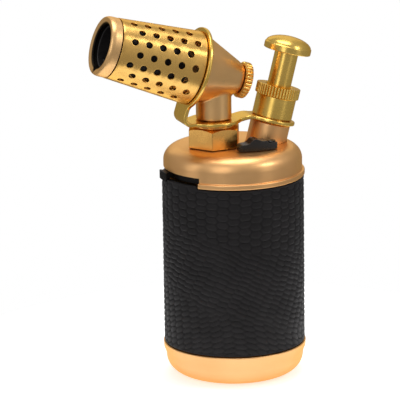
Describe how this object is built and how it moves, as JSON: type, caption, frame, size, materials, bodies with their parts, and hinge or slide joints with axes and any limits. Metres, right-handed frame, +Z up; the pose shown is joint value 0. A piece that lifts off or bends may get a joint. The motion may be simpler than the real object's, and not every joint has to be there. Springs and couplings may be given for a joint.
{
  "type": "butane torch",
  "caption": "Table torch: leather-covered gas tank, perforated burner leaning back from a neck with a hex nut, and a push-button piezo igniter tied to it by a bent brass strip.",
  "frame": {"origin": "centre of the flat underside of the base cap, on the tank's axis", "axes": "+Z up the tank's axis; the burner points to -X and up, the igniter leans to +X, the lock lever is on the -Y side"},
  "size_m": [0.0803, 0.0506, 0.1312],
  "materials": {
    "satin_gold": "fine bead-blasted satin, rose-gold plated",
    "tip_gold": "satin gold plating",
    "nut_brass": "drawn and bent brass, lightly polished",
    "plain_brass": "plain turned brass",
    "bright_brass": "polished, with fine turning lines",
    "black_leather": "embossed reptile scales, low sheen",
    "black_plastic": "moulded, satin",
    "steel": "plain turned steel",
    "burnt_steel": "heat-blackened",
    "ceramic": "unglazed insulator",
    "black_rubber": "matte",
    "cotton": "braided wick"
  },
  "bodies": {
    "torch_body": {"base_cap": "satin_gold", "shoulder_dome": "satin_gold", "neck_tube": "satin_gold", "burner_cone": "satin_gold", "burner_tip": "tip_gold", "igniter_boss": "satin_gold", "tank_shell": "plain_brass", "valve_body": "plain_brass", "hex_nut": "nut_brass", "bracket_strip": "nut_brass", "gas_jet": "plain_brass", "fill_valve_body": "plain_brass", "cage_tube": "bright_brass", "igniter_barrel": "bright_brass", "barrel_collar": "bright_brass", "leather_sleeve": "black_leather", "piezo_case": "black_plastic", "lock_rivet": "black_plastic", "valve_lock_nut": "steel", "valve_spring": "steel", "rocker_pin": "steel", "electrode": "steel", "wick": "cotton", "flame_tube": "burnt_steel", "flame_disc": "burnt_steel", "electrode_insulator": "ceramic", "fill_gasket": "black_rubber"},
    "plunger": {"plunger_button": "bright_brass", "plunger_stem": "bright_brass", "piezo_plunger": "black_plastic"},
    "rocker": {"valve_rocker": "steel"},
    "gas_valve_stem": {"valve_stem": "steel"},
    "flame_lever": {"flame_ring": "black_plastic"},
    "gas_metering": {"metering_drum": "black_plastic"},
    "jet_knob": {"burner_knob": "bright_brass"},
    "lock": {"lock_lever": "black_plastic"},
    "fill_valve": {"fill_valve_stem": "steel"}
  },
  "joints": [
    {"name": "plunger_press", "type": "slide", "parent": "torch_body", "child": "plunger", "axis": [0.2497, 0, 0.9683], "range_m": [-0.0083, 0], "stiffness_N_per_m": 1200, "springref_m": 0.003},
    {"name": "rocker_turn", "type": "hinge", "parent": "torch_body", "child": "rocker", "pos_m": [0.0029, 0, 0.0769], "axis": [0, 1, 0], "range_deg": [0, 9]},
    {"name": "gas_valve_lift", "type": "slide", "parent": "torch_body", "child": "gas_valve_stem", "axis": [0, 0, 1], "range_m": [0, 0.0012], "stiffness_N_per_m": 300, "springref_m": -0.002, "deforming": ["valve_spring"]},
    {"name": "flame_adjust", "type": "hinge", "parent": "torch_body", "child": "flame_lever", "pos_m": [0, 0, 0.0739], "axis": [0, 0, 1], "range_deg": [-30, 30]},
    {"name": "metering_turn", "type": "hinge", "parent": "torch_body", "child": "gas_metering", "pos_m": [-0.00683, 0, 0.0739], "axis": [0, 0, 1], "range_deg": [-50, 50]},
    {"name": "jet_knob_turn", "type": "hinge", "parent": "torch_body", "child": "jet_knob", "pos_m": [-0.00683, 0, 0.1084], "axis": [-0.9525, 0, 0.3045], "range_deg": [-90, 90]},
    {"name": "lock_swing", "type": "hinge", "parent": "torch_body", "child": "lock", "pos_m": [0.0099, -0.0122, 0.0826], "axis": [0, 0, 1], "range_deg": [0, 25]},
    {"name": "fill_valve_push", "type": "slide", "parent": "torch_body", "child": "fill_valve", "axis": [0, 0, 1], "range_m": [0, 0.0012], "stiffness_N_per_m": 300, "springref_m": -0.002}
  ],
  "couplings": [
    {"joint": "rocker_turn", "follows": "plunger_press", "rad_per_m": -15.771},
    {"joint": "gas_valve_lift", "follows": "plunger_press", "ratio": -0.10241},
    {"joint": "metering_turn", "follows": "flame_adjust", "ratio": 1.57}
  ]
}
